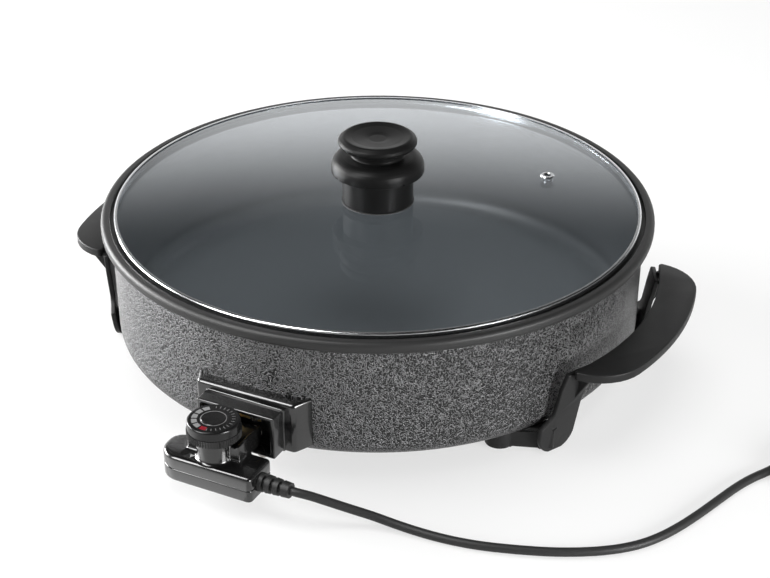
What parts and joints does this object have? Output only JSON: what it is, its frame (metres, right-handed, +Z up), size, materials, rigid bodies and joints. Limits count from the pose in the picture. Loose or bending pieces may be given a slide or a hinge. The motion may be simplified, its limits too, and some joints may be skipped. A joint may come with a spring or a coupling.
{
  "type": "electric pizza pan",
  "caption": "Round deep electric pan with a loose domed glass lid, side handles that are also its feet, and a plug-in thermostat with a dial and mains cord.",
  "frame": {"origin": "on the pan's axis, at the table", "axes": "+Z up along the pan's axis, the socket towards -Y, the handles towards -X and +X"},
  "size_m": [0.6833, 0.4735, 0.1715],
  "materials": {
    "hammer_paint": "dark grey hammertone paint on aluminium, smooth satin on the rim",
    "heater_tube": "dull sheathed tube",
    "plated_steel": "zinc or nickel plate",
    "ceramic": "unglazed ceramic",
    "gloss_black": "glossy black phenolic",
    "brass": "plain",
    "bimetal": "rolled strip",
    "handle_black": "fine matte phenolic",
    "lid_glass": "clear tempered glass",
    "band_steel": "polished stainless steel",
    "silicone": "matte silicone",
    "cord_rubber": "satin black",
    "tie_black": "matte"
  },
  "bodies": {
    "pan": {"pan": "hammer_paint", "heating_element": "heater_tube", "terminal_pins": "plated_steel", "terminal_insulators": "ceramic", "socket_housing": "gloss_black", "socket_screws": "plated_steel", "earth_plate": "brass", "handle_left": "handle_black", "handle_right": "handle_black", "handle_screws_left": "plated_steel", "handle_screws_right": "plated_steel"},
    "lid": {"glass_lid": "lid_glass", "lid_band": "band_steel", "vent_eyelet": "band_steel", "lid_knob": "gloss_black", "knob_insert": "brass", "knob_screw": "plated_steel", "knob_washer": "plated_steel", "knob_gasket": "silicone"},
    "thermostat": {"thermostat_upper": "gloss_black", "thermostat_lower": "gloss_black", "probe": "plated_steel", "receptacles": "brass", "earth_spring": "brass", "bimetal_strip": "bimetal", "contact_leaf": "brass", "contact_stack": "ceramic", "spindle_bush": "brass", "shell_screws": "plated_steel", "strain_relief": "cord_rubber", "power_cord": "cord_rubber", "cord_coil": "cord_rubber", "cord_tie": "tie_black", "plug_lead": "cord_rubber", "plug_body": "cord_rubber", "plug_pins": "plated_steel", "plug_earth_clips": "brass"},
    "dial": {"dial": "gloss_black", "dial_cap": "gloss_black", "dial_spindle": "plated_steel"}
  },
  "joints": [
    {"name": "lid_lift", "type": "slide", "parent": "pan", "child": "lid", "axis": [0, 0, 1], "range_m": [0, 0.25]},
    {"name": "thermostat_pull", "type": "slide", "parent": "pan", "child": "thermostat", "axis": [0, -1, 0], "range_m": [0, 0.06]},
    {"name": "dial_turn", "type": "hinge", "parent": "thermostat", "child": "dial", "pos_m": [0.001, -0.2445, 0.049], "axis": [0, 0, -1], "range_deg": [0, 270]}
  ]
}
